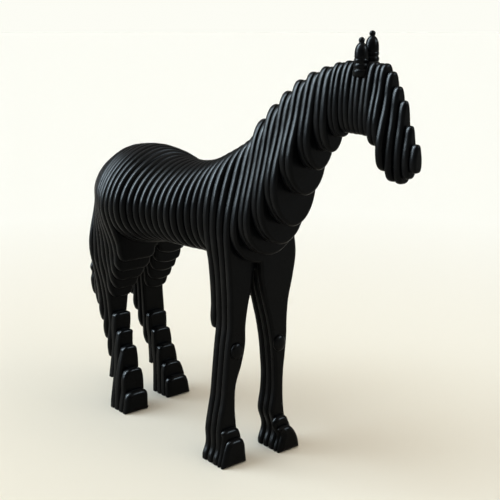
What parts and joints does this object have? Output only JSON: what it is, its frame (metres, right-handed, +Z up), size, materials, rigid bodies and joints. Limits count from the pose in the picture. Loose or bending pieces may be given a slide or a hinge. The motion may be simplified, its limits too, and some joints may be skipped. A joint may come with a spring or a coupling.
{
  "type": "horse sculpture",
  "caption": "Standing horse sculpture built of upright boards with rounded edges, glued face to face and painted satin black.",
  "frame": {"origin": "middle of the bounding box, at floor level under the hooves", "axes": "+X from the tail to the nose, +Y to the horse's left, +Z up; the boards are perpendicular to X"},
  "size_m": [0.419, 0.11, 0.3492],
  "materials": {
    "satin_black_paint": "satin black paint over wood boards"
  },
  "bodies": {
    "root": {"tail_tip_boards": "satin_black_paint", "tail_board_04": "satin_black_paint", "rump_board_05": "satin_black_paint", "rump_board_06": "satin_black_paint", "rump_board_07": "satin_black_paint", "rump_board_08": "satin_black_paint", "rump_board_09": "satin_black_paint", "rump_board_10": "satin_black_paint", "rump_board_11": "satin_black_paint", "rump_board_12": "satin_black_paint", "rump_board_13": "satin_black_paint", "rump_board_14": "satin_black_paint", "rump_board_15": "satin_black_paint", "rump_board_16": "satin_black_paint", "rump_board_17": "satin_black_paint", "barrel_board_18": "satin_black_paint", "barrel_board_19": "satin_black_paint", "barrel_board_20": "satin_black_paint", "barrel_board_21": "satin_black_paint", "barrel_board_22": "satin_black_paint", "barrel_board_23": "satin_black_paint", "barrel_board_24": "satin_black_paint", "barrel_board_25": "satin_black_paint", "barrel_board_26": "satin_black_paint", "barrel_board_27": "satin_black_paint", "barrel_board_28": "satin_black_paint", "barrel_board_29": "satin_black_paint", "barrel_board_30": "satin_black_paint", "barrel_board_31": "satin_black_paint", "barrel_board_32": "satin_black_paint", "shoulder_board_33": "satin_black_paint", "shoulder_board_34": "satin_black_paint", "shoulder_board_35": "satin_black_paint", "shoulder_board_36": "satin_black_paint", "shoulder_board_37": "satin_black_paint", "neck_boards_38": "satin_black_paint", "neck_boards_39": "satin_black_paint", "neck_boards_40": "satin_black_paint", "neck_boards_41": "satin_black_paint", "neck_boards_42": "satin_black_paint", "neck_boards_43": "satin_black_paint", "head_boards_44": "satin_black_paint", "head_boards_45": "satin_black_paint", "head_boards_46": "satin_black_paint", "head_boards_47": "satin_black_paint", "head_boards_48": "satin_black_paint", "muzzle_board_49": "satin_black_paint", "muzzle_board_50": "satin_black_paint", "muzzle_board_51": "satin_black_paint", "muzzle_board_52": "satin_black_paint", "muzzle_board_53": "satin_black_paint", "right_hind_hoof_steps": "satin_black_paint", "right_fore_hoof_front": "satin_black_paint", "right_knee_button": "satin_black_paint", "right_ear": "satin_black_paint", "left_hind_hoof_steps": "satin_black_paint", "left_fore_hoof_front": "satin_black_paint", "left_knee_button": "satin_black_paint", "left_ear": "satin_black_paint"}
  },
  "joints": []
}
